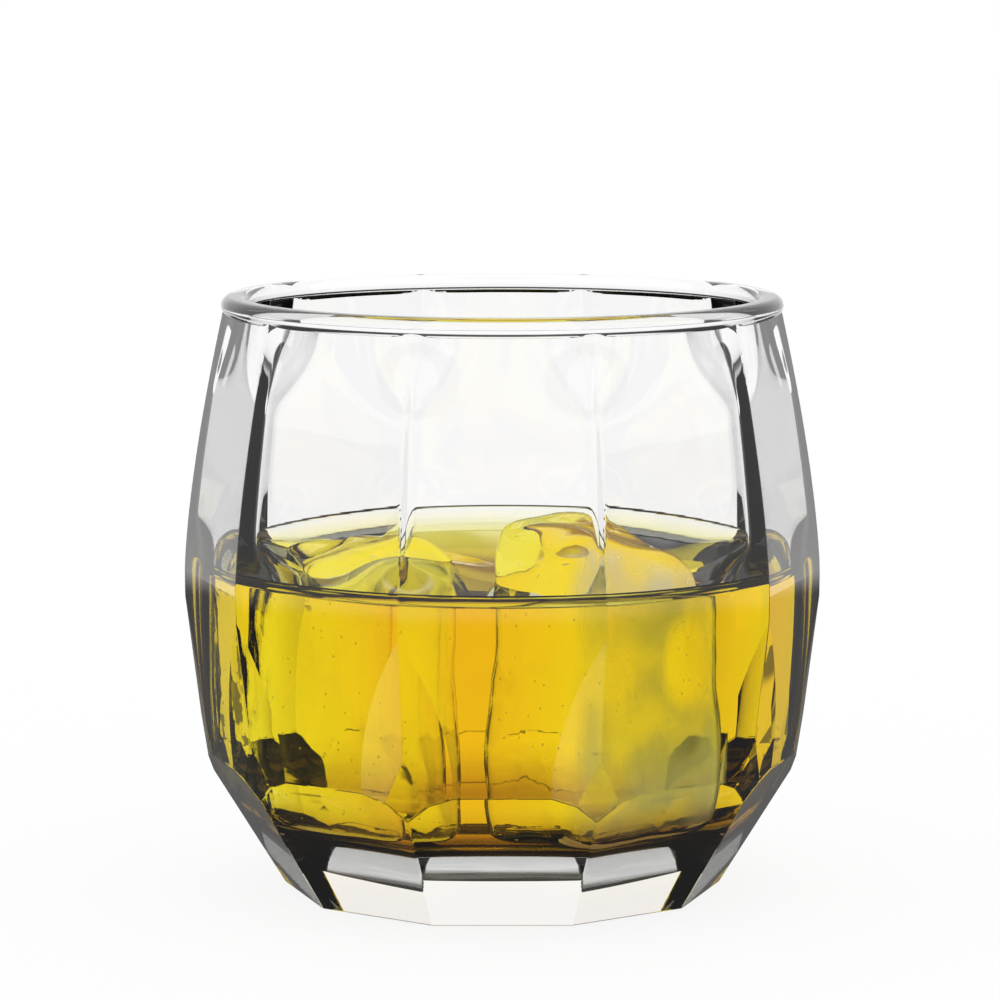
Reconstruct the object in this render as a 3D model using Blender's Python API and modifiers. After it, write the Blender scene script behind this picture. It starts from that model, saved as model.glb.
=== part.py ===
"""A ten-sided whiskey tumbler with a diamond cut at each corner of its lower body, poured over two ice cubes.

Metres, +Z up. The origin is the middle of the foot. The corners of the ten-sided body lie on +X and every
36 degrees from it, so one flat panel faces -Y.
"""

import math

import bmesh
import bpy
from mathutils import Matrix, Vector

# The faceted outside. Radii of the body run to its corners.
SIDES = 10
HEIGHT = 0.0860
BELLY_RADIUS = 0.0460
BELLY_LEVEL = 0.0460
SHOULDER_LEVEL = 0.0203
SHOULDER_INSET = 0.0017
FOOT_RADIUS = 0.0316
FOOT_CHAMFER = 0.0008
NECK_POWER = 1.45

# The diamond at each corner: a ridge from the apex down to the tip, with a long facet on either side.
APEX_LEVEL = 0.0425
RIDGE_LEVEL = 0.0255
RIDGE_CUT = 0.0011
PANEL_FOOT_WIDTH = 0.0134
TIP_CUT = 0.0004

# The round rim, the round inside and the dished underside.
RIM_RADIUS = 0.0404
RIM_HEIGHT = 0.0028
RIM_PROUD = 0.0004
RIM_WALL = 0.0040
LIP_ROUNDING = 0.0013
WALL = 0.0038
SHOULDER_WALL = 0.0050
FLOOR_THICKNESS = 0.0120
FLOOR_ROUNDING = 0.0070
DISH_RADIUS = 0.0220
DISH_DEPTH = 0.0012

# The drink and the ice. The cubes stand side by side and pass through the mouth together; the line that parts them
# lies to the left of the axis by the split. A cube can stand forward of the middle, toward the front panel.
FILL_DEPTH = 0.0340
MENISCUS_WIDTH = 0.0026
MENISCUS_RISE = 0.0016
ICE_GAP = 0.0020
ICE_SPLIT = 0.0045
ICE_WALL_CLEARANCE = 0.0025
ICE_ROUNDING = 0.0050
ICE_MELT = 0.0015
LEFT_TURN = math.radians(10.0)
LEFT_FORWARD = 0.0
LEFT_RISE = 0.0045
LEFT_SLUMP = 0.15
RIGHT_TURN = math.radians(35.0)
RIGHT_FORWARD = 0.0165
RIGHT_RISE = 0.0100
RIGHT_SLUMP = 0.50

# Pieces that touch keep this much air between them.
SEAT_GAP = 0.0003

# Fineness of the turned surfaces.
ROUND_STEPS = 60
WALL_STEPS = 12
ARC_STEPS = 5

HALF_SIDE_ANGLE = math.pi / SIDES
APOTHEM = math.cos(HALF_SIDE_ANGLE)
MERGE = 0.00001

# Levels and radii that follow from the sizes above.
NECK_RADIUS = RIM_RADIUS - RIM_PROUD
NECK_LEVEL = HEIGHT - RIM_HEIGHT / 2
SHOULDER_RADIUS = BELLY_RADIUS - SHOULDER_INSET
MOUTH_RADIUS = RIM_RADIUS - RIM_WALL
INSIDE_BELLY = BELLY_RADIUS * APOTHEM - WALL
INSIDE_LOW = SHOULDER_RADIUS * APOTHEM - SHOULDER_WALL
FILL_LEVEL = FLOOR_THICKNESS + FILL_DEPTH


def barrel_radius(level, neck, belly, low):
    """Radius of a barrel that is widest at the belly and draws in to the neck above and to the shoulder below."""
    if level >= BELLY_LEVEL:
        share = (level - BELLY_LEVEL) / (NECK_LEVEL - BELLY_LEVEL)
        return belly - (belly - neck) * share**NECK_POWER
    share = (BELLY_LEVEL - level) / (BELLY_LEVEL - SHOULDER_LEVEL)
    return belly - (belly - low) * share**2


def corner_radius(level):
    """Radius to an uncut corner of the body, between the neck and the shoulder."""
    return barrel_radius(level, NECK_RADIUS, BELLY_RADIUS, SHOULDER_RADIUS)


def inside_radius(level):
    """Radius of the round inside."""
    return barrel_radius(level, MOUTH_RADIUS, INSIDE_BELLY, INSIDE_LOW)


def levels_down(top, bottom, steps):
    """Evenly spaced levels from top to bottom, both ends included."""
    return [top + (bottom - top) * i / steps for i in range(steps + 1)]


def arc(centre, radius, start, end, steps=ARC_STEPS):
    """Points of a circular arc in the (radius, level) plane, angles in degrees."""
    angles = [math.radians(start + (end - start) * i / steps) for i in range(steps + 1)]
    return [(centre[0] + radius * math.cos(a), centre[1] + radius * math.sin(a)) for a in angles]


def basin(top, gap):
    """Outline of the round inside from a level down to the axis, standing off the glass by a gap."""
    rounding = FLOOR_ROUNDING - gap
    floor = FLOOR_THICKNESS + gap
    turn_level = floor + rounding
    wall = [(inside_radius(z) - gap, z) for z in levels_down(top, turn_level, WALL_STEPS)]
    bend = arc((wall[-1][0] - rounding, turn_level), rounding, 0, -90)
    return wall + bend[1:] + [(0.0, floor)]


def new_collection(name):
    collection = bpy.data.collections.new(name)
    bpy.context.scene.collection.children.link(collection)
    return collection


def material(name, colour, roughness):
    shader = bpy.data.materials.new(name)
    shader.use_nodes = True
    surface = shader.node_tree.nodes["Principled BSDF"]
    surface.inputs["Base Color"].default_value = colour
    surface.inputs["Roughness"].default_value = roughness
    surface.inputs["Metallic"].default_value = 0.0
    return shader


def add_object(name, mesh, collection, shader=None):
    piece = bpy.data.objects.new(name, mesh)
    collection.objects.link(piece)
    if shader:
        mesh.materials.append(shader)
    else:
        piece.hide_render = True
        piece.display_type = "WIRE"
    return piece


def turned(name, outline, steps, collection, shader=None):
    """A turned solid: the outline runs from the top of the axis down its outer side to the bottom of the axis."""
    mesh = bpy.data.meshes.new(name)
    profile = bmesh.new()
    verts = [profile.verts.new((r, 0.0, z)) for r, z in outline]
    for upper, lower in zip(verts, verts[1:]):
        profile.edges.new((upper, lower))
    profile.to_mesh(mesh)
    profile.free()
    piece = add_object(name, mesh, collection, shader)
    screw = piece.modifiers.new("Turn", "SCREW")
    screw.steps = screw.render_steps = steps
    screw.use_merge_vertices = True
    screw.merge_threshold = MERGE
    screw.use_smooth_shade = True
    return piece


def boolean(piece, operation, other):
    cut = piece.modifiers.new(other.name, "BOOLEAN")
    cut.operation = operation
    cut.object = other
    cut.solver = "EXACT"


def evaluated_mesh(piece):
    bpy.context.view_layer.update()
    return bpy.data.meshes.new_from_object(piece.evaluated_get(bpy.context.evaluated_depsgraph_get()))


def slice_off(body, point, normal):
    """Removes what lies beyond a plane and closes the cut with one flat facet."""
    everything = body.verts[:] + body.edges[:] + body.faces[:]
    cut = bmesh.ops.bisect_plane(
        body, geom=everything, dist=MERGE / 10, plane_co=point, plane_no=normal.normalized(), clear_outer=True
    )
    edges = [e for e in cut["geom_cut"] if isinstance(e, bmesh.types.BMEdge) and e.is_boundary]
    bmesh.ops.holes_fill(body, edges=edges)


def diamond_planes():
    """Planes of one corner's diamond, as (point, outward normal), for the corner on +X."""
    apex = Vector((corner_radius(APEX_LEVEL), 0.0, APEX_LEVEL))
    ridge_end = Vector((corner_radius(RIDGE_LEVEL) - RIDGE_CUT, 0.0, RIDGE_LEVEL))
    ridge = ridge_end - apex
    panel = Vector((math.cos(HALF_SIDE_ANGLE), math.sin(HALF_SIDE_ANGLE), 0.0))
    along = Vector((-panel.y, panel.x, 0.0))
    planes = []
    for hand in (1, -1):
        side = panel * SHOULDER_RADIUS * APOTHEM - along * PANEL_FOOT_WIDTH / 2
        side = Vector((side.x, hand * side.y, SHOULDER_LEVEL))
        planes.append((apex, hand * ridge.cross(side - apex)))
    drop = SHOULDER_LEVEL - RIDGE_LEVEL
    tip = ridge * (drop / ridge.z) - Vector((TIP_CUT, 0.0, 0.0))
    planes.append((ridge_end, Vector((-tip.z, 0.0, tip.x))))
    return planes


def faceted_body(collection, shader):
    """The solid ten-sided body: a barrel turned in ten steps, with a diamond cut at each corner."""
    outline = [(0.0, NECK_LEVEL)]
    outline += [(corner_radius(z), z) for z in levels_down(NECK_LEVEL, BELLY_LEVEL, WALL_STEPS)]
    outline += [(corner_radius(z), z) for z in levels_down(BELLY_LEVEL, SHOULDER_LEVEL, WALL_STEPS)[1:]]
    foot_slope = (SHOULDER_RADIUS - FOOT_RADIUS) / SHOULDER_LEVEL
    outline += [(FOOT_RADIUS + foot_slope * FOOT_CHAMFER, FOOT_CHAMFER)]
    outline += [(FOOT_RADIUS - FOOT_CHAMFER, 0.0), (0.0, 0.0)]
    blank = turned("body_blank", outline, SIDES, collection)
    body = bmesh.new()
    body.from_mesh(evaluated_mesh(blank))
    bpy.data.objects.remove(blank)
    bmesh.ops.remove_doubles(body, verts=body.verts[:], dist=MERGE)
    for corner in range(SIDES):
        turn = Matrix.Rotation(2 * math.pi * corner / SIDES, 3, "Z")
        for point, normal in diamond_planes():
            slice_off(body, turn @ point, turn @ normal)
    bmesh.ops.recalc_face_normals(body, faces=body.faces[:])
    for facet in body.faces:
        facet.smooth = False
    mesh = bpy.data.meshes.new("tumbler_glass")
    body.to_mesh(mesh)
    body.free()
    return add_object("tumbler_glass", mesh, collection, shader)


def tumbler_glass(parts, cutters):
    """The glass: the faceted body with a round beaded rim, hollowed by a turned inside and dished underneath."""
    glass = faceted_body(parts, material("clear_glass", (0.93, 0.95, 0.95, 1.0), 0.02))

    half = RIM_HEIGHT / 2
    bead_edge = arc((RIM_RADIUS - half, HEIGHT - half), half, 90, -90, 2 * ARC_STEPS)
    bead = turned("rim_bead", [(0.0, HEIGHT)] + bead_edge + [(0.0, HEIGHT - RIM_HEIGHT)], ROUND_STEPS, cutters)
    boolean(glass, "UNION", bead)

    lip_level = HEIGHT - LIP_ROUNDING
    lip = arc((MOUTH_RADIUS + LIP_ROUNDING, lip_level), LIP_ROUNDING, 90, 180)
    above = HEIGHT + RIM_HEIGHT
    outline = [(0.0, above), (lip[0][0], above)] + lip[:-1] + basin(lip_level, 0.0)
    boolean(glass, "DIFFERENCE", turned("inside_cutter", outline, ROUND_STEPS, cutters))

    sphere = (DISH_RADIUS**2 + DISH_DEPTH**2) / (2 * DISH_DEPTH)
    reach = math.degrees(math.asin(DISH_RADIUS / sphere))
    dish = arc((0.0, DISH_DEPTH - sphere), sphere, 90, 90 - reach)
    outline = [(0.0, DISH_DEPTH)] + dish[1:] + [(DISH_RADIUS, -DISH_DEPTH), (0.0, -DISH_DEPTH)]
    boolean(glass, "DIFFERENCE", turned("dish_cutter", outline, ROUND_STEPS, cutters))
    return glass


def ice_cube(name, hand, turn, forward, rise, slump, collection, shader=None, grow=0.0):
    """A half-melted cube on its own side of the glass: upright, turned about its middle and narrower at the top.

    It stands on the floor, is as wide as its half of the mouth lets through, and grows all round by a gap
    when it is the hollow that the cube leaves in the drink. Its top falls away toward the wall by the slump.
    """
    fit = min(MOUTH_RADIUS, INSIDE_LOW) - ICE_WALL_CLEARANCE
    room = math.sqrt(fit**2 - forward**2)
    reach = (room + hand * ICE_SPLIT - ICE_GAP / 2) / 2
    spread = math.cos(turn) + math.sin(turn)
    side = 2 * (reach + ICE_ROUNDING * (spread - 1)) / spread + 2 * grow
    bottom = FLOOR_THICKNESS + SEAT_GAP - grow
    top = FILL_LEVEL + rise + grow
    mesh = bpy.data.meshes.new(name)
    block = bmesh.new()
    bmesh.ops.create_cube(block, size=1.0)
    bmesh.ops.scale(block, vec=(side, side, top - bottom), verts=block.verts[:])
    bmesh.ops.translate(block, vec=(0.0, 0.0, (top - bottom) / 2), verts=block.verts[:])
    melted = (side - 2 * ICE_MELT) / side
    upper = [v for v in block.verts if v.co.z > (top - bottom) / 2]
    bmesh.ops.scale(block, vec=(melted, melted, 1.0), verts=upper)
    for corner in upper:
        outward = hand * (corner.co.x * math.cos(turn) - corner.co.y * math.sin(turn))
        corner.co.z -= slump * max(0.0, outward)
    block.to_mesh(mesh)
    block.free()
    mesh.shade_smooth()
    cube = add_object(name, mesh, collection, shader)
    cube.location = (hand * (ICE_GAP / 2 + reach) - ICE_SPLIT, -forward, bottom)
    cube.rotation_euler.z = turn
    rounding = cube.modifiers.new("Melt", "BEVEL")
    rounding.width = ICE_ROUNDING + grow
    rounding.segments = 4
    return cube


def whiskey(parts, cutters, hollows):
    """The drink: it fills the inside up to a level, climbs a little at the glass, and leaves room for the ice."""
    edge_level = FILL_LEVEL + MENISCUS_RISE
    edge = inside_radius(edge_level) - SEAT_GAP
    rim = [(edge - MENISCUS_WIDTH * (1 - i / ARC_STEPS), FILL_LEVEL + MENISCUS_RISE * (i / ARC_STEPS) ** 2)
           for i in range(ARC_STEPS)]
    outline = [(0.0, FILL_LEVEL)] + rim + basin(edge_level, SEAT_GAP)
    drink = turned("whiskey", outline, ROUND_STEPS, parts, material("amber_whiskey", (0.80, 0.42, 0.02, 1.0), 0.02))
    for hollow in hollows:
        boolean(drink, "DIFFERENCE", hollow)
    return drink


def main():
    for leftover in list(bpy.data.objects):
        bpy.data.objects.remove(leftover)
    parts = new_collection("whiskey_tumbler")
    cutters = new_collection("cutters")
    tumbler_glass(parts, cutters)
    frozen = material("clear_ice", (0.95, 0.97, 1.0, 1.0), 0.05)
    hollows = []
    cubes = (
        ("ice_cube_left", -1, LEFT_TURN, LEFT_FORWARD, LEFT_RISE, LEFT_SLUMP),
        ("ice_cube_right", 1, RIGHT_TURN, RIGHT_FORWARD, RIGHT_RISE, RIGHT_SLUMP),
    )
    for name, *shape in cubes:
        ice_cube(name, *shape, parts, frozen)
        hollows.append(ice_cube(name + "_hollow", *shape, cutters, grow=SEAT_GAP))
    whiskey(parts, cutters, hollows)


main()
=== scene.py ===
# %% [markdown]
# # A faceted whiskey tumbler, poured over ice
# The part is a heavy pressed glass with ten flat sides, a round beaded rim and a diamond cut at each
# corner of its lower body. It holds a pour of whiskey and two half-melted ice cubes. The solids are already
# made, so this lesson dresses them: each piece is modelled again with finer edges and gets the finish of the
# real thing.

import math
from types import SimpleNamespace

import bmesh
import bpy
from mathutils import Matrix, Vector, noise


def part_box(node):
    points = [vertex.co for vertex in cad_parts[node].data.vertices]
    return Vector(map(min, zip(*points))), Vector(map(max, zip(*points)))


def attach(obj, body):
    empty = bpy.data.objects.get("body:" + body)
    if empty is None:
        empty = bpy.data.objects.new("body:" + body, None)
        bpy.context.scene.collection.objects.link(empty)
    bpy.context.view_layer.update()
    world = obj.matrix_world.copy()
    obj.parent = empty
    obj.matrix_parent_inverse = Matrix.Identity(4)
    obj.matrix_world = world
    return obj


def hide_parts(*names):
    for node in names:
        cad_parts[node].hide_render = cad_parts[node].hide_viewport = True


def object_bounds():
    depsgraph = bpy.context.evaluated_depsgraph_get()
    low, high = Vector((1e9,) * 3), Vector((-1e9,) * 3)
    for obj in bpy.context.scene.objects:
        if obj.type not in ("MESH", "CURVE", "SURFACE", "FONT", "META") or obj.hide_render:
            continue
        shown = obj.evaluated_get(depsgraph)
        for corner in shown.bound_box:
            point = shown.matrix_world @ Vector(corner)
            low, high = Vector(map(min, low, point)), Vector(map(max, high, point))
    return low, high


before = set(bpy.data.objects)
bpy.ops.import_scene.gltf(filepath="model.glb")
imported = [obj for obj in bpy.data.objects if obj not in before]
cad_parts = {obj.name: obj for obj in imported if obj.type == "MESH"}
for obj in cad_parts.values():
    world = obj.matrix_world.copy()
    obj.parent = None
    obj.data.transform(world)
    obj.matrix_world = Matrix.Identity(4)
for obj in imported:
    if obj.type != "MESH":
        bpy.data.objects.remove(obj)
solid_low, solid_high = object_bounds()
solid_size = [round(1000 * length, 1) for length in solid_high - solid_low]
print("solids:", sorted(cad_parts), "box in mm:", solid_size)

# %% [markdown]
# The sizes are those of the solids, in metres. Radii of the faceted body run to its corners, which lie on +X
# and every 36 degrees from there. The height and the widest radius are read from the solids' own box.

# %% Sizes of the glass
SIDES = 10
HEIGHT = solid_high.z
BELLY_RADIUS = solid_high.x
BELLY_LEVEL = 0.0460
SHOULDER_LEVEL = 0.0203
SHOULDER_RADIUS = BELLY_RADIUS - 0.0017
FOOT_RADIUS = 0.0316
RIM_RADIUS = 0.0404
RIM_HEIGHT = 0.0028
NECK_RADIUS = RIM_RADIUS - 0.0004
NECK_LEVEL = HEIGHT - RIM_HEIGHT / 2
NECK_CURVE = 1.45
SHOULDER_CURVE = 2
MOUTH_RADIUS = RIM_RADIUS - 0.0040
WALL = 0.0038
SHOULDER_WALL = 0.0050
FLOOR = 0.0120
FLOOR_ROUNDING = 0.0070
HALF_SIDE = math.pi / SIDES
FLAT = math.cos(HALF_SIDE)


def barrel_radius(level, neck, belly, low):
    """Radius of a barrel at a level, widest at the belly and drawn in toward the neck and the shoulder."""
    if level >= BELLY_LEVEL:
        part = (level - BELLY_LEVEL) / (NECK_LEVEL - BELLY_LEVEL)
        return belly - (belly - neck) * part**NECK_CURVE
    part = (BELLY_LEVEL - level) / (BELLY_LEVEL - SHOULDER_LEVEL)
    return belly - (belly - low) * part**SHOULDER_CURVE


def corner_radius(level):
    return barrel_radius(level, NECK_RADIUS, BELLY_RADIUS, SHOULDER_RADIUS)


def inside_radius(level):
    belly = BELLY_RADIUS * FLAT - WALL
    low = SHOULDER_RADIUS * FLAT - SHOULDER_WALL
    return barrel_radius(level, MOUTH_RADIUS, belly, low)


def levels(top, bottom, steps):
    return [top + (bottom - top) * i / steps for i in range(steps + 1)]


def arc(centre, radius, start, end, steps):
    turns = [math.radians(a) for a in levels(start, end, steps)]
    return [(centre[0] + radius * math.cos(a), centre[1] + radius * math.sin(a)) for a in turns]


print(f"belly {2000 * BELLY_RADIUS:.0f} mm across corners, mouth {2000 * MOUTH_RADIUS:.1f} mm across")

# %% [markdown]
# Every round shape here is an outline spun about the upright axis. One helper draws the outline as a chain
# of vertices, from the top of the axis down the outer side, and spins it. The seam and the poles are merged
# and the normals are set again, since a spin can leave them pointing inwards.

# %% Spinning an outline
MERGE_DISTANCE = 0.000005


def spun(outline, steps, smooth=True):
    turned = bmesh.new()
    chain = [turned.verts.new((r, 0.0, z)) for r, z in outline]
    edges = [turned.edges.new(pair) for pair in zip(chain, chain[1:])]
    bmesh.ops.spin(
        turned,
        geom=chain + edges,
        cent=(0, 0, 0),
        axis=(0, 0, 1),
        angle=2 * math.pi,
        steps=steps,
        use_merge=True,
    )
    bmesh.ops.remove_doubles(turned, verts=turned.verts[:], dist=MERGE_DISTANCE)
    bmesh.ops.recalc_face_normals(turned, faces=turned.faces[:])
    for face in turned.faces:
        face.smooth = smooth
    return turned


def as_object(shape, name):
    mesh = bpy.data.meshes.new(name)
    shape.to_mesh(mesh)
    shape.free()
    thing = bpy.data.objects.new(name, mesh)
    bpy.context.scene.collection.objects.link(thing)
    return thing


print("outlines can be spun and made into objects")

# %% [markdown]
# ## The glass
# A pressed tumbler is one piece of glass. The faceted outside is a barrel outline spun in ten steps, and the
# diamonds are flat cuts, as a mould maker would mill them: at each corner two long facets meet in a ridge
# that falls from an apex, and a small facet takes the end of the ridge. The bands of the barrel are fine, so
# that light bends smoothly through the panels.

# %% The diamond cuts
CUT_TOLERANCE = 0.000001
APEX_LEVEL = 0.0425
RIDGE_LEVEL = 0.0255
RIDGE_CUT = 0.0011
PANEL_FOOT = 0.0134
TIP_CUT = 0.0004
BANDS_ABOVE_BELLY = 56
BANDS_BELOW_BELLY = 40


def slice_off(body, point, normal):
    cut = bmesh.ops.bisect_plane(
        body,
        geom=body.verts[:] + body.edges[:] + body.faces[:],
        dist=CUT_TOLERANCE,
        plane_co=point,
        plane_no=normal.normalized(),
        clear_outer=True,
    )
    rim = [e for e in cut["geom_cut"] if isinstance(e, bmesh.types.BMEdge) and e.is_boundary]
    bmesh.ops.holes_fill(body, edges=rim)


def diamond_planes():
    """The three cutting planes of the corner on +X, each a point and a normal."""
    apex = Vector((corner_radius(APEX_LEVEL), 0.0, APEX_LEVEL))
    ridge_end = Vector((corner_radius(RIDGE_LEVEL) - RIDGE_CUT, 0.0, RIDGE_LEVEL))
    ridge = ridge_end - apex
    panel = Vector((math.cos(HALF_SIDE), math.sin(HALF_SIDE), 0.0))
    along = Vector((-panel.y, panel.x, 0.0))
    side = panel * SHOULDER_RADIUS * FLAT - along * PANEL_FOOT / 2
    planes = []
    for hand in (1, -1):
        foot = Vector((side.x, hand * side.y, SHOULDER_LEVEL))
        planes.append((apex, hand * ridge.cross(foot - apex)))
    tip = ridge * ((SHOULDER_LEVEL - RIDGE_LEVEL) / ridge.z) - Vector((TIP_CUT, 0.0, 0.0))
    planes.append((ridge_end, Vector((-tip.z, 0.0, tip.x))))
    return planes


outline = [(0.0, NECK_LEVEL)]
outline += [(corner_radius(z), z) for z in levels(NECK_LEVEL, BELLY_LEVEL, BANDS_ABOVE_BELLY)]
outline += [(corner_radius(z), z) for z in levels(BELLY_LEVEL, SHOULDER_LEVEL, BANDS_BELOW_BELLY)[1:]]
outline += [(FOOT_RADIUS, 0.0), (0.0, 0.0)]
body = spun(outline, SIDES, smooth=False)
for corner in range(SIDES):
    turn = Matrix.Rotation(2 * math.pi * corner / SIDES, 3, "Z")
    for point, normal in diamond_planes():
        slice_off(body, turn @ point, turn @ normal)
bmesh.ops.recalc_face_normals(body, faces=body.faces[:])
print("facets after the cuts:", len(body.faces))

# %% [markdown]
# Pressed glass never has knife edges: the mould and the fire polish leave every corner slightly round, and
# that round corner is what draws the thin lines of light and dark along the edges. Only the real edges are
# rounded, chosen by how sharply their two faces turn.

# %% Rounded edges
SHARP_TURN = math.radians(14)
EDGE_ROUNDING = 0.0005
sharp = [e for e in body.edges if e.is_manifold and e.calc_face_angle() > SHARP_TURN]
bmesh.ops.bevel(
    body,
    geom=sharp,
    offset=EDGE_ROUNDING,
    offset_type="OFFSET",
    affect="EDGES",
    segments=3,
    profile=0.5,
    material=-1,
    clamp_overlap=True,
)
bmesh.ops.recalc_face_normals(body, faces=body.faces[:])
glass = as_object(body, "pressed_glass")
print("rounded", len(sharp), "edges")

# %% [markdown]
# The rim is a round bead, the inside is turned and smooth, and the underside is a little dished so that the
# glass stands on a ring. These are three more spun shapes: one is joined to the body and two are cut from it.

# %% Rim, inside and underside
ROUND = 120
LIP_ROUNDING = 0.0013
DISH_RADIUS = 0.0220
DISH_DEPTH = 0.0012
CLEARANCE = 0.004
half = RIM_HEIGHT / 2
bead_line = arc((RIM_RADIUS - half, HEIGHT - half), half, 90, -90, steps=16)
bead = as_object(spun([(0.0, HEIGHT)] + bead_line + [(0.0, HEIGHT - RIM_HEIGHT)], ROUND), "bead")


def basin(top, gap, steps=72):
    """The inside of the glass from a level down to the axis, drawn in by a gap."""
    rounding = FLOOR_ROUNDING - gap
    floor = FLOOR + gap
    wall = [(inside_radius(z) - gap, z) for z in levels(top, floor + rounding, steps)]
    bend = arc((wall[-1][0] - rounding, floor + rounding), rounding, 0, -90, steps=14)
    return wall + bend[1:] + [(0.0, floor)]


lip_level = HEIGHT - LIP_ROUNDING
lip = arc((MOUTH_RADIUS + LIP_ROUNDING, lip_level), LIP_ROUNDING, 90, 180, steps=8)
above = HEIGHT + CLEARANCE
turned_hollow = spun([(0.0, above), (lip[0][0], above)] + lip[:-1] + basin(lip_level, 0.0), 4 * ROUND)
sphere = (DISH_RADIUS**2 + DISH_DEPTH**2) / (2 * DISH_DEPTH)
dish_edge = 90 - math.degrees(math.asin(DISH_RADIUS / sphere))
dish_line = arc((0.0, DISH_DEPTH - sphere), sphere, 90, dish_edge, steps=10)
dish = as_object(spun(dish_line + [(DISH_RADIUS, -CLEARANCE), (0.0, -CLEARANCE)], ROUND), "dish")
print(f"rim bead {1000 * RIM_HEIGHT:.1f} mm high, inside spun, dish {1000 * DISH_DEPTH:.1f} mm deep")

# %% [markdown]
# Above the drink the inside follows the panels softly, so the wall is as thick at the corners as in the
# middle of a panel. That matters for the looks: light goes straight through a wall with two parallel faces,
# while a round inside behind a flat outside would bend the whole room into streaks. The turned inside is
# pressed outward toward the corners, from nothing at the drink to nothing at the rim. Then the bead is joined
# to the body, and the inside and the dish are cut from it.

# %% Panels inside
PANEL_LOW = FLOOR + 0.0352
PANEL_HIGH = HEIGHT - 0.0030
PANEL_GROWTH = 0.007
PANEL_FADE = 0.012
CORNER_SHARPNESS = 400


def smooth_share(value):
    value = min(1.0, max(0.0, value))
    return value * value * (3 - 2 * value)


def ten_sided(angle):
    """Reach of a rounded ten-sided outline at an angle, where the middle of each panel is at 1."""
    middles = [HALF_SIDE + 2 * HALF_SIDE * i for i in range(SIDES)]
    reach = sum(max(0.0, math.cos(angle - m)) ** CORNER_SHARPNESS for m in middles)
    return reach ** (-1 / CORNER_SHARPNESS)


def combined(base, steps):
    """Joins or cuts a base object with others, one (operation, object) after another."""
    for operation, tool in steps:
        join = base.modifiers.new(tool.name, "BOOLEAN")
        join.operation = operation
        join.object = tool
        join.solver = "EXACT"
    bpy.context.view_layer.update()
    evaluated = base.evaluated_get(bpy.context.evaluated_depsgraph_get())
    result = bpy.data.meshes.new_from_object(evaluated)
    base.modifiers.clear()
    base.data = result
    result.name = base.name
    for _, tool in steps:
        bpy.data.objects.remove(tool)


for v in turned_hollow.verts:
    rising = smooth_share((v.co.z - PANEL_LOW) / PANEL_GROWTH)
    fading = smooth_share((PANEL_HIGH - v.co.z) / PANEL_FADE)
    push = 1 + rising * fading * (ten_sided(math.atan2(v.co.y, v.co.x)) - 1)
    v.co.x *= push
    v.co.y *= push
hollow = as_object(turned_hollow, "hollow")
combined(glass, [("UNION", bead), ("DIFFERENCE", hollow), ("DIFFERENCE", dish)])
print("glass:", len(glass.data.polygons), "faces")

# %% [markdown]
# The finishes need a little arithmetic on shader sockets. This class wraps one output socket: plus, minus,
# times and so on between sockets and numbers add Math nodes, and `make` adds any other node. Glass, drink and
# ice then share one clear surface. Its glare is the share of the mirroring straight on that is kept.

# %% Shader arithmetic
class Signal:
    def __init__(self, socket):
        self.socket = socket

    @staticmethod
    def make(tree, kind, settings=None, **inputs):
        """Adds a node and fills its inputs by name, or by number where the key starts with an underscore."""
        node = tree.nodes.new("ShaderNode" + kind)
        for key, value in (settings or {}).items():
            setattr(node, key, value)
        for key, value in inputs.items():
            slot = node.inputs[int(key[1:])] if key[0] == "_" else node.inputs[key.replace("_", " ")]
            if isinstance(value, Signal):
                tree.links.new(value.socket, slot)
            else:
                slot.default_value = value
        return node

    def calc(self, operation, a, b=0.0):
        node = Signal.make(self.socket.id_data, "Math", {"operation": operation}, _0=a, _1=b)
        return Signal(node.outputs[0])

    def __add__(self, other):
        return self.calc("ADD", self, other)

    __radd__ = __add__

    def __mul__(self, other):
        return self.calc("MULTIPLY", self, other)

    __rmul__ = __mul__

    def __sub__(self, other):
        return self.calc("SUBTRACT", self, other)

    def __rsub__(self, other):
        return self.calc("SUBTRACT", other, self)

    def __truediv__(self, other):
        return self.calc("DIVIDE", self, other)

    def __gt__(self, other):
        return self.calc("GREATER_THAN", self, other)

    def __pow__(self, other):
        return self.calc("POWER", self, other)


def new_finish(name):
    finish = bpy.data.materials.new(name)
    finish.use_nodes = True
    tree = finish.node_tree
    return finish, tree, tree.nodes["Principled BSDF"]


def clear_surface(name, ior, wave_size, wave_depth, roughness, glare=1.0):
    """A clear refracting surface with the faint waviness of pressed glass, poured liquid or wet ice."""
    finish, tree, surface = new_finish(name)
    surface.inputs["Base Color"].default_value = (1.0, 1.0, 1.0, 1.0)
    surface.inputs["Transmission Weight"].default_value = 1.0
    surface.inputs["IOR"].default_value = ior
    surface.inputs["Specular Tint"].default_value = (glare, glare, glare, 1.0)
    place = Signal(Signal.make(tree, "TexCoord").outputs["Object"])
    waves = Signal.make(tree, "TexNoise", Vector=place, Scale=1.0 / wave_size, Detail=2.0, Roughness=0.45)
    bump = Signal.make(tree, "Bump", Height=Signal(waves.outputs[0]), Strength=1.0, Distance=wave_depth)
    tree.links.new(bump.outputs[0], surface.inputs["Normal"])
    surface.inputs["Roughness"].default_value = 0.0
    if roughness > 0:
        haze = Signal.make(tree, "TexNoise", Vector=place, Scale=55.0, Detail=4.0, Roughness=0.6)
        veil = Signal(haze.outputs[0]) * roughness
        tree.links.new(veil.socket, surface.inputs["Roughness"])
    return finish, tree


def eased(tree, value, start, end):
    """A smooth step of a value, from 0 at the start to 1 at the end."""
    step = Signal.make(
        tree, "MapRange", {"interpolation_type": "SMOOTHSTEP"}, Value=value, From_Min=start, From_Max=end
    )
    return Signal(step.outputs[0])


print("shader helpers ready")

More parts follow.
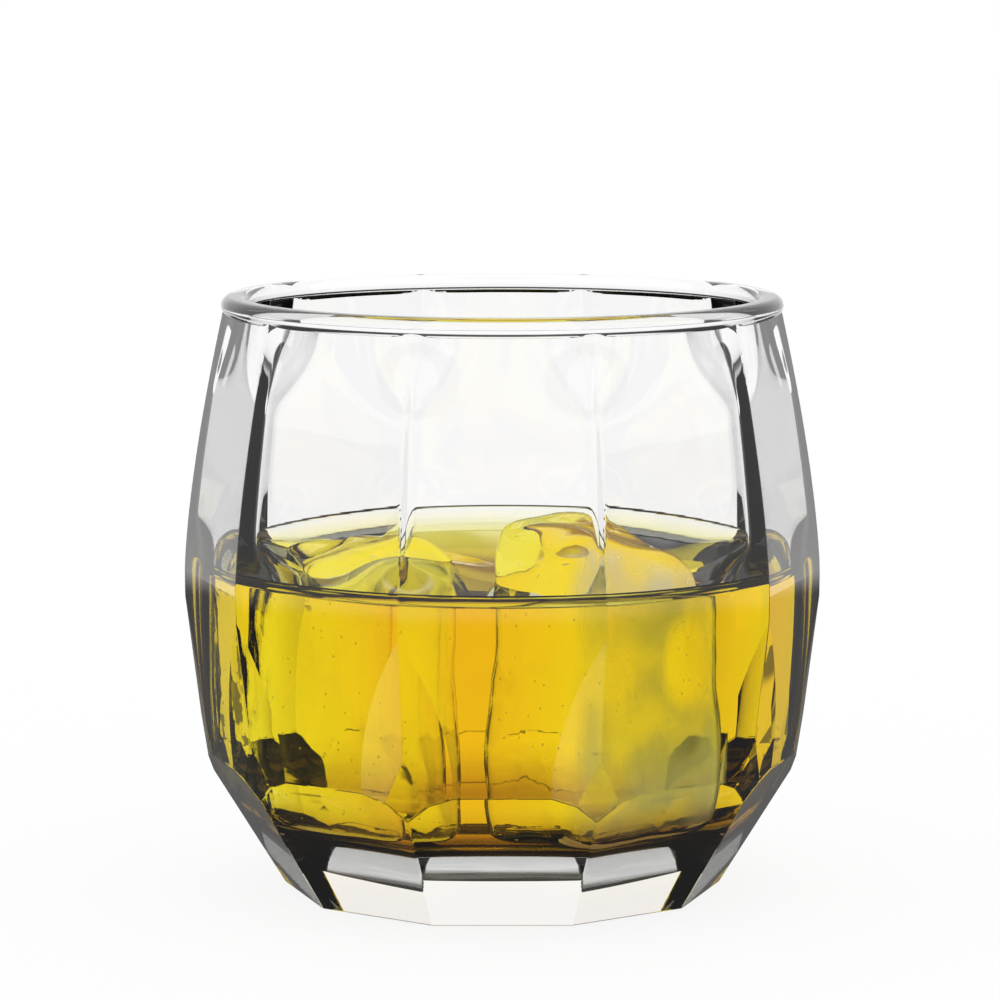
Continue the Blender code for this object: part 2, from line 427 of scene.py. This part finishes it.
# %% [markdown]
# Clear soda-lime glass bends light with an index of about 1.5. Its surface is not perfectly flat: a pressed
# wall has a faint, slow waviness, and the finish has that as a shallow bump.

# %% Glass finish
def settle(piece, body, node, finish):
    """Gives a piece its finish, lets it ride on its body and stand for its solid."""
    piece.data.materials.clear()
    piece.data.materials.append(finish)
    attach(piece, body)
    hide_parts(node)
    print(f"{piece.name}: {len(piece.data.polygons)} faces, stands for {node}")


glass_finish, _ = clear_surface(
    "clear_pressed_glass", ior=1.50, wave_size=0.030, wave_depth=0.00006, roughness=0.004
)
settle(glass, "glass", "tumbler_glass", glass_finish)

# %% [markdown]
# ## The ice
# The cubes have melted for a while: their corners are round, their sides lean in and have gone wavy, and
# their tops stand out of the drink and slope down toward the wall. Each starts as a cube that is tapered,
# slumped and given a wide rounding, as the solids are. Then its faces are divided and pushed in and out by a
# smooth noise, with stronger swells on top, where warm air and drips have worked on it.

# %% Shape of the ice
FILL_LEVEL = FLOOR + 0.0340
ICE_ROUNDING = 0.0050
ICE_MELT = 0.0015
LONG_EDGE = 0.005
SMOOTHING_PASSES = 6
SWELLS_PER_METRE = 75
RIPPLES_PER_METRE = 190
TOP_SWELLS_PER_METRE = 105
RIPPLE_SHARE = 0.35
SWELL_LOSS = 0.25
SWELL_DEPTH = 0.0009
TOP_SWELL_DEPTH = 0.0016
ICE = {
    "ice_cube_left": dict(hand=-1, turn=math.radians(10), rise=0.0045, slump=0.15, seed=3.1),
    "ice_cube_right": dict(hand=1, turn=math.radians(35), rise=0.0100, slump=0.50, seed=7.7),
}


def ice_side(node, turn):
    """Length of a turned cube's side, from the width of its solid."""
    low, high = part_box(node)
    spread = math.cos(turn) + math.sin(turn)
    return (high.x - low.x + 2 * ICE_ROUNDING * (spread - 1)) / spread


def slumped_block(node, hand, turn, rise, slump):
    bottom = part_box(node)[0].z
    side = ice_side(node, turn)
    block = bmesh.new()
    bmesh.ops.create_cube(block, size=1.0)
    bmesh.ops.scale(block, vec=(side, side, FILL_LEVEL + rise - bottom), verts=block.verts[:])
    upper = [v for v in block.verts if v.co.z > 0]
    lean = 1 - 2 * ICE_MELT / side
    bmesh.ops.scale(block, vec=(lean, lean, 1.0), verts=upper)
    for corner in upper:
        outward = hand * (corner.co.x * math.cos(turn) - corner.co.y * math.sin(turn))
        corner.co.z -= slump * max(0.0, outward)
    bmesh.ops.bevel(
        block,
        geom=block.edges[:],
        offset=ICE_ROUNDING,
        offset_type="OFFSET",
        affect="EDGES",
        segments=7,
        profile=0.5,
        material=-1,
        clamp_overlap=True,
    )
    long_edges = [e for e in block.edges if e.calc_length() > LONG_EDGE]
    bmesh.ops.subdivide_edges(block, edges=long_edges, cuts=13, use_grid_fill=True)
    return block


def melted_cube(node, seed, grow=0.0, **shape):
    block = slumped_block(node, **shape)
    for _ in range(SMOOTHING_PASSES):
        bmesh.ops.smooth_vert(
            block, verts=block.verts[:], factor=0.5, use_axis_x=True, use_axis_y=True, use_axis_z=True
        )
    block.normal_update()
    drift = Vector((seed, 2 * seed, 3 * seed))
    shifts = []
    for v in block.verts:
        ripple = RIPPLE_SHARE * noise.noise(v.co * RIPPLES_PER_METRE + drift)
        swell = noise.noise(v.co * SWELLS_PER_METRE + drift) + ripple - SWELL_LOSS
        top_swell = max(0.0, v.normal.z) * noise.noise(v.co * TOP_SWELLS_PER_METRE - drift)
        shifts.append(v.normal * (SWELL_DEPTH * swell + TOP_SWELL_DEPTH * top_swell + grow))
    for v, shift in zip(block.verts, shifts):
        v.co += shift
    low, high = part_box(node)
    turned = Matrix.Rotation(shape["turn"], 3, "Z")
    bmesh.ops.rotate(block, cent=(0, 0, 0), matrix=turned, verts=block.verts[:])
    lowest = min(v.co.z for v in block.verts)
    lift = low.z - lowest + min(0.0, grow)
    place = Vector(((low.x + high.x) / 2, (low.y + high.y) / 2, lift))
    bmesh.ops.translate(block, vec=place, verts=block.verts[:])
    for face in block.faces:
        face.smooth = True
    return block


for node, shape in ICE.items():
    side = 1000 * ice_side(node, shape["turn"])
    print(f"{node}: side {side:.1f} mm, turned {math.degrees(shape['turn']):.0f} degrees")

# %% [markdown]
# Ice is clear where it froze slowly and cloudy where air was caught in it. Each cube gets a cloud on its
# front face, strong on the right one and faint on the left one. The cloud has a hollow where the face has
# melted back to clear ice, soft patches, and a few grains of caught air. Wet ice lies in the drink, so it
# keeps no glare of its own straight on.

# %% Ice finish
FROST = {"ice_cube_left": 0.15, "ice_cube_right": 0.85}
FROST_COLOUR = (0.97, 0.96, 0.92, 1.0)
CLOUD_DEPTH = 0.0040
HOLLOW_PLACE = (0.0040, 0.0030)
HOLLOW_SIZE = (0.0036, 0.0055)
HOLLOW_FADE = (0.3, 2.0)
PATCH_SHARE = 0.65
PATCH_RANGE = (0.30, 0.66)
GRAIN_SHARE = 0.5
GRAIN_RANGE = (0.05, 0.12)


def frosted_ice(node, amount, turn):
    """Wet clear ice whose front face is cloudy white, with a clear hollow melted into the cloud."""
    finish, tree = clear_surface(
        "wet_" + node, ior=1.31, wave_size=0.006, wave_depth=0.00010, roughness=0.01, glare=0.0
    )
    low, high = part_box(node)
    half_side = ice_side(node, turn) / 2
    place = Signal(Signal.make(tree, "TexCoord").outputs["Object"])
    offset = Signal.make(tree, "VectorMath", {"operation": "SUBTRACT"}, _0=place, _1=(low + high) / 2)
    inside = Signal(offset.outputs[0])

    def along(*direction):
        dot = Signal.make(tree, "VectorMath", {"operation": "DOT_PRODUCT"}, _0=inside, _1=direction)
        return Signal(dot.outputs["Value"])

    front = along(math.sin(turn), -math.cos(turn), 0.0)
    across = (along(math.cos(turn), math.sin(turn), 0.0) - HOLLOW_PLACE[0]) / HOLLOW_SIZE[0]
    up = (along(0.0, 0.0, 1.0) - HOLLOW_PLACE[1]) / HOLLOW_SIZE[1]
    patches = Signal.make(tree, "TexNoise", Vector=place, Scale=110.0, Detail=1.5, Roughness=0.5)
    patchy = 1 - PATCH_SHARE + PATCH_SHARE * eased(tree, Signal(patches.outputs[0]), *PATCH_RANGE)
    cloud = amount * eased(tree, front, half_side - CLOUD_DEPTH, half_side - CLOUD_DEPTH / 4)
    cloud = cloud * patchy * eased(tree, across**2 + up**2, *HOLLOW_FADE)
    grains = Signal.make(tree, "TexVoronoi", Vector=place, Scale=420.0)
    caught_air = GRAIN_SHARE * (1 - eased(tree, Signal(grains.outputs["Distance"]), *GRAIN_RANGE))
    frost = Signal.make(tree, "BsdfDiffuse", Color=FROST_COLOUR, Roughness=0.5)
    clear = Signal(tree.nodes["Principled BSDF"].outputs[0])
    share = cloud + caught_air * (1 - cloud)
    mixed = Signal.make(tree, "MixShader", _0=share, _1=clear, _2=Signal(frost.outputs[0]))
    tree.links.new(mixed.outputs[0], tree.nodes["Material Output"].inputs["Surface"])
    return finish


for node, shape in ICE.items():
    cube = as_object(melted_cube(node, **shape), node.replace("ice_cube", "melted_ice"))
    finish = frosted_ice(node, FROST[node], shape["turn"])
    settle(cube, node.replace("ice_cube", "ice"), node, finish)

# %% [markdown]
# ## The whiskey
# The drink wets the glass and climbs a little where it meets it. A ray must pass from glass to drink with no
# air between them, so the drink reaches a fraction of a millimetre into the wall, and the ice a fraction into
# the drink.

# %% Shape of the drink
CLIMB = 0.0022
CLIMB_WIDTH = 0.0036
CLIMB_STEPS = 8
INTO_GLASS = 0.0003
ICE_INTO_DRINK = 0.0002
edge_level = FILL_LEVEL + CLIMB
edge_radius = inside_radius(edge_level) + INTO_GLASS
climb = [i / CLIMB_STEPS for i in range(CLIMB_STEPS)]
rim = [(edge_radius - CLIMB_WIDTH * (1 - part), FILL_LEVEL + CLIMB * part**2) for part in climb]
drink_line = [(0.0, FILL_LEVEL)] + rim + basin(edge_level, -INTO_GLASS)
drink = as_object(spun(drink_line, ROUND), "poured_whiskey")
ice_hollows = []
for node, shape in ICE.items():
    ice_hollow = as_object(melted_cube(node, grow=-ICE_INTO_DRINK, **shape), node + "_hollow")
    ice_hollows.append(("DIFFERENCE", ice_hollow))
combined(drink, ice_hollows)
print(f"drink filled to {1000 * FILL_LEVEL:.0f} mm, with {len(ice_hollows)} hollows for the ice")

# %% [markdown]
# Most of its colour is in its depth: short paths stay pale gold and long ones turn to amber. Only low down by
# the wall is the surface itself tinted, a painted shade of dark amber that gives the drink its dark lower
# edge.
# Because it overlaps the glass, the drink keeps no glare of its own straight on. Otherwise each wall would
# mirror twice.

# %% Finish of the drink
DEPTH_COLOUR = (0.997, 0.95, 0.0, 1.0)
DEPTH_DENSITY = 160.0
FLAT_FLOOR = (0.0240, 0.0300)
PAINTED_SHADE_LEVELS = (FLOOR + 0.0005, FLOOR + 0.0085)
CLEAR = (1.0, 1.0, 1.0, 1.0)
PAINTED_SHADE_AMBER = (0.30, 0.17, 0.06, 1.0)
whiskey_finish, tree = clear_surface(
    "amber_whiskey", ior=1.36, wave_size=0.020, wave_depth=0.00002, roughness=0.0, glare=0.0
)
depth = Signal.make(tree, "VolumeAbsorption", Color=DEPTH_COLOUR, Density=DEPTH_DENSITY)
tree.links.new(depth.outputs[0], tree.nodes["Material Output"].inputs["Volume"])
place = Signal(Signal.make(tree, "TexCoord").outputs["Object"])
x, y, level = (Signal(socket) for socket in Signal.make(tree, "SeparateXYZ", Vector=place).outputs)
# Painted shade: low down near the wall the drink's surface is tinted dark amber, which draws its dark lower
# edge.
near_wall = eased(tree, x * x + y * y, FLAT_FLOOR[0] ** 2, FLAT_FLOOR[1] ** 2)
painted_shade = near_wall * (1 - eased(tree, level, *PAINTED_SHADE_LEVELS))
painted_shade_tint = Signal.make(tree, "Mix", {"data_type": "RGBA"}, _0=painted_shade, _6=CLEAR, _7=PAINTED_SHADE_AMBER)
tree.links.new(painted_shade_tint.outputs[2], tree.nodes["Principled BSDF"].inputs["Base Color"])
settle(drink, "drink", "whiskey", whiskey_finish)

# %% [markdown]
# ## The studio
# The glass stands on a white table in a white room, as glass is photographed. Clear glass has no colour of
# its own: it looks like what it shows. So the table and the room answer a ray by how it came, and never with
# more than plain white. Many rays through the glass find them white. One that strayed in the glass by two or
# more inner reflections finds them dim, and those rays draw dark lines along the edges. Rays that light the
# frost find plain white.

# %% How a ray came
STRAY_LOSS = 0.45
STRAY_LOSS_IN_DRINK = 0.5


def journey(tree):
    """How a ray came and what it met. Light Path counts in whole steps, so a limit lies between two."""
    path = {socket.name: Signal(socket) for socket in Signal.make(tree, "LightPath").outputs}
    through = path["Is Transmission Ray"]
    return SimpleNamespace(
        seen=path["Is Camera Ray"],
        scattered=path["Is Diffuse Ray"],
        through=through,
        mirrored=path["Is Glossy Ray"] * (1 - through),
        bounced=path["Glossy Depth"] > 0.5,
        strayed=path["Glossy Depth"] > 1.5,
        past_wall=path["Transmission Depth"] > 2.5,
        in_drink=path["Transmission Depth"] > 4.5,
        softened=path["Diffuse Depth"] > 0.5,
    )


print("rays are told apart by camera, mirror, passage and depth")

# %% [markdown]
# The table is a plain white sheet that keeps a faint shadow. Under the glass it is dimmer by a painted shade,
# as any table is under the thing that stands on it. The facets of the diamonds mirror the table in front. To
# them it is dim close to the glass, apart from two painted white wedges, which put a faint painted reflection
# on the facets that face them.

# %% Table
TABLE_REACH = 3.0
TABLE_DROP = 0.0001
TABLE_WHITE = (0.9, 0.9, 0.9, 1.0)
PAINTED_SHADE_UNDER_GLASS = (0.046, 0.062)
SHADE = 0.45
LESS_SHADE_IN_DRINK = 0.35
FRONT_OF_GLASS = (0.05, 0.07, 0.16, 0.18)
LEFT_GLINT_WEDGE = (-52, -37)
RIGHT_GLINT_WEDGE = (11, 26)
MIRROR_DARK = 0.2
MIRROR_OPEN = (0.30, 0.36)
GLINT_LOSS = 0.95
FAR_TABLE = (0.8, 1.2)
FAR_PAINTED_SHADE = 0.75
SCATTERED_GLOW = 0.9
SHADOW_SHARE = 0.15
# Where the camera sees the table, this glow and the share of the lit sheet add up to plain white.
SEEN_GLOW = 1.018
table_top = bmesh.new()
bmesh.ops.create_grid(table_top, x_segments=1, y_segments=1, size=TABLE_REACH)
bmesh.ops.translate(table_top, vec=(0, 0, -TABLE_DROP), verts=table_top.verts[:])
table = as_object(table_top, "table_top")
table_finish, tree, surface = new_finish("white_table")
surface.inputs["Base Color"].default_value = TABLE_WHITE
surface.inputs["Roughness"].default_value = 0.9
surface.inputs["Specular IOR Level"].default_value = 0.0
ray = journey(tree)
place = Signal(Signal.make(tree, "TexCoord").outputs["Object"])
reach = Signal(Signal.make(tree, "VectorMath", {"operation": "LENGTH"}, _0=place).outputs["Value"])
spot = Signal.make(tree, "SeparateXYZ", Vector=place).outputs
across = Signal(spot["X"])
bearing = across.calc("ARCTAN2", across, 0 - Signal(spot["Y"]))


def wedge(start, end, soft=2.0):
    """A wedge of the table between two bearings in degrees, counted from the viewer's side to the right."""
    start, end, soft = math.radians(start), math.radians(end), math.radians(soft)
    return eased(tree, bearing, start - soft, start + soft) - eased(tree, bearing, end - soft, end + soft)


in_front = eased(tree, reach, *FRONT_OF_GLASS[:2]) - eased(tree, reach, *FRONT_OF_GLASS[2:])
# Painted reflection: two wedges of the table in front are bright only to mirrored rays and lay a faint veil
# on the facets.
veil = (wedge(*LEFT_GLINT_WEDGE) + wedge(*RIGHT_GLINT_WEDGE)) * in_front
mirror = MIRROR_DARK + (1 - MIRROR_DARK) * (eased(tree, reach, *MIRROR_OPEN) + veil)
# Painted shade: close under the glass the table is dimmed, less so for rays that passed through the drink.
painted_table_shade = SHADE + LESS_SHADE_IN_DRINK * ray.in_drink
passed = painted_table_shade + (1 - painted_table_shade) * eased(tree, reach, *PAINTED_SHADE_UNDER_GLASS)
passed = passed * (1 - ray.strayed * (STRAY_LOSS + STRAY_LOSS_IN_DRINK * ray.in_drink))
passed = passed * (1 - GLINT_LOSS * ray.bounced * (1 - ray.in_drink))
# Painted shade: seen through the drink, the far table is dimmed, which deepens the drink's colour.
passed = passed * (1 - FAR_PAINTED_SHADE * ray.in_drink * eased(tree, reach, *FAR_TABLE))
passed = passed + ray.softened * (1 - passed)
shown = SEEN_GLOW * ray.seen + SCATTERED_GLOW * ray.scattered
shown = shown + ray.through * passed + ray.mirrored * mirror
glow = Signal(Signal.make(tree, "Emission", Color=shown, Strength=1.0).outputs[0])
sheet = Signal(surface.outputs[0])
lit = Signal.make(tree, "MixShader", _0=1 - SHADOW_SHARE * ray.seen, _1=sheet, _2=glow)
tree.links.new(lit.outputs[0], tree.nodes["Material Output"].inputs["Surface"])
table.data.materials.append(table_finish)
print(f"table {2 * TABLE_REACH:.0f} m wide, dimmer within {1000 * PAINTED_SHADE_UNDER_GLASS[0]:.0f} mm of the axis")

# %% [markdown]
# The room is white all round. Rays that passed through the glass also find a dark strip part way up, as there
# is in a studio between a backdrop and a ceiling light. The base and the lower edge of the drink show it as
# dark lines. Rays that were mirrored on their way, past the first wall, find the low part of the room dim, so
# the drink keeps its own colour there.

# %% Room
STRIP = (0.20, 0.24, 0.395, 0.425)
STRIP_LOSS = 0.95
LOW_PART = (0.16, 0.22)
LOW_LOSS = 0.85
world = bpy.data.worlds.new("white_room")
bpy.context.scene.world = world
world.use_nodes = True
tree = world.node_tree
ray = journey(tree)
toward = Signal(Signal.make(tree, "TexCoord").outputs["Generated"])
height = Signal(Signal.make(tree, "SeparateXYZ", Vector=toward).outputs["Z"])
strip = eased(tree, height, *STRIP[:2]) - eased(tree, height, *STRIP[2:])
low_part = 1 - eased(tree, height, *LOW_PART)
loss = ray.strayed * (STRAY_LOSS + STRAY_LOSS_IN_DRINK * ray.in_drink)
white = (1 - STRIP_LOSS * ray.through * strip) * (1 - ray.through * loss)
white = white * (1 - LOW_LOSS * ray.through * ray.bounced * ray.past_wall * low_part)
white = white + ray.softened * ray.through * (1 - white)
tree.links.new(white.socket, tree.nodes["Background"].inputs["Color"])
print("white room with a dark strip from", STRIP[0], "to", STRIP[3], "of full height")

# %% [markdown]
# The camera looks slightly down at the glass from about fifteen radii away, straight at one of its panels.

# %% Camera
CAMERA_PLACE = (-0.00033, -0.690, 0.1441)
LOOKING_DOWN = 7.26
LENS = 173.3
FILM_WIDTH = 36.0
camera = bpy.data.objects.new("camera", bpy.data.cameras.new("camera"))
bpy.context.scene.collection.objects.link(camera)
camera.location = CAMERA_PLACE
camera.rotation_euler = (math.radians(90 - LOOKING_DOWN), 0.0, 0.0)
camera.data.sensor_width = FILM_WIDTH
camera.data.lens = LENS
camera.data.clip_start = 0.01
bpy.context.scene.camera = camera
bpy.context.scene.view_settings.view_transform = "Standard"
print(f"camera {1000 * abs(camera.location.y):.0f} mm away, lens {LENS} mm")
